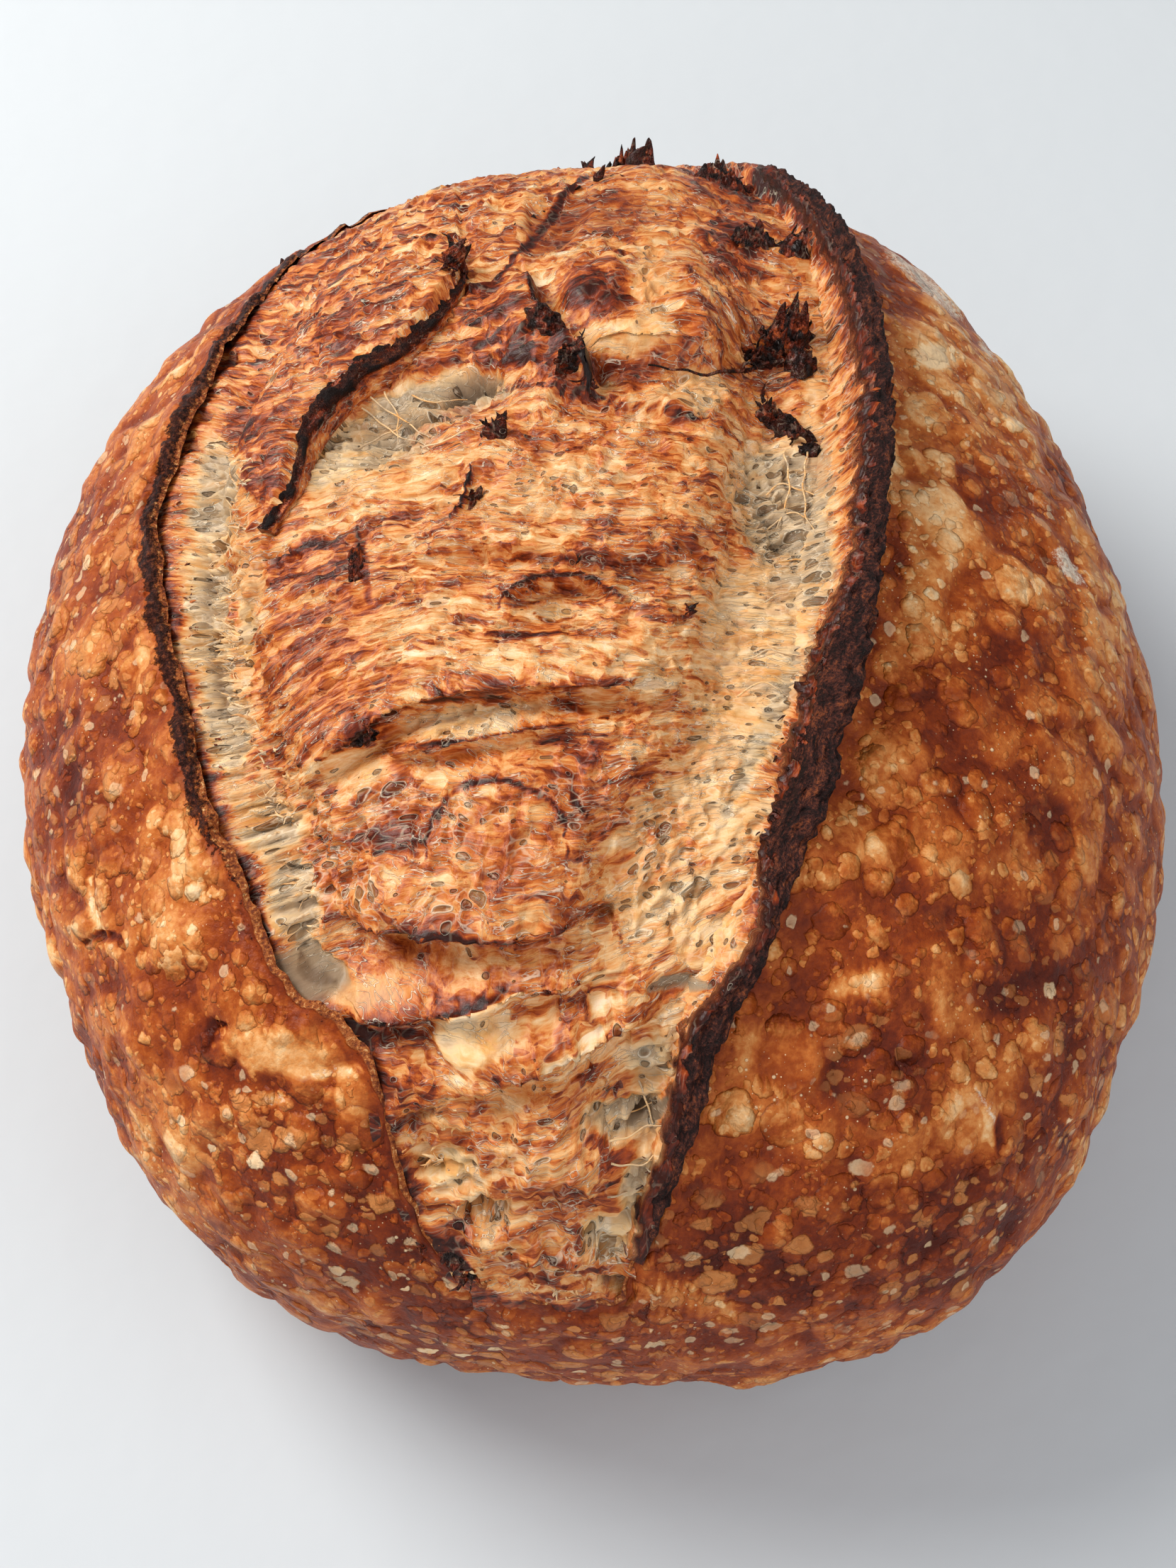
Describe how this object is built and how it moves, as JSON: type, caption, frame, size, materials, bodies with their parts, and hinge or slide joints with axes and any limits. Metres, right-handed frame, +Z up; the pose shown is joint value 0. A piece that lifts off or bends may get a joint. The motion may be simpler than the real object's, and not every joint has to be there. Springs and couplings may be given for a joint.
{
  "type": "sourdough loaf",
  "caption": "Round country sourdough loaf with a wide torn burst between a low crust edge and a tall lifted ear.",
  "frame": {"origin": "middle of the loaf's bounding box in plan, at the level of the flat base it rests on", "axes": "+Z up from the base through the crown; +Y towards the back end of the burst, along the loaf's length; +X towards the ear"},
  "size_m": [0.195, 0.2245, 0.12],
  "materials": {
    "crust": "blistered caramel-brown baked crust, slightly glossy on the blisters",
    "crumb": "torn, stretched and toasted crumb, pale in the grooves and purple-brown on the ridges",
    "char": "charred matte edge of the ear and of the torn points",
    "flour": "thin dusting of flour left on the crust"
  },
  "bodies": {
    "root": {"loaf": "crust"}
  },
  "joints": []
}
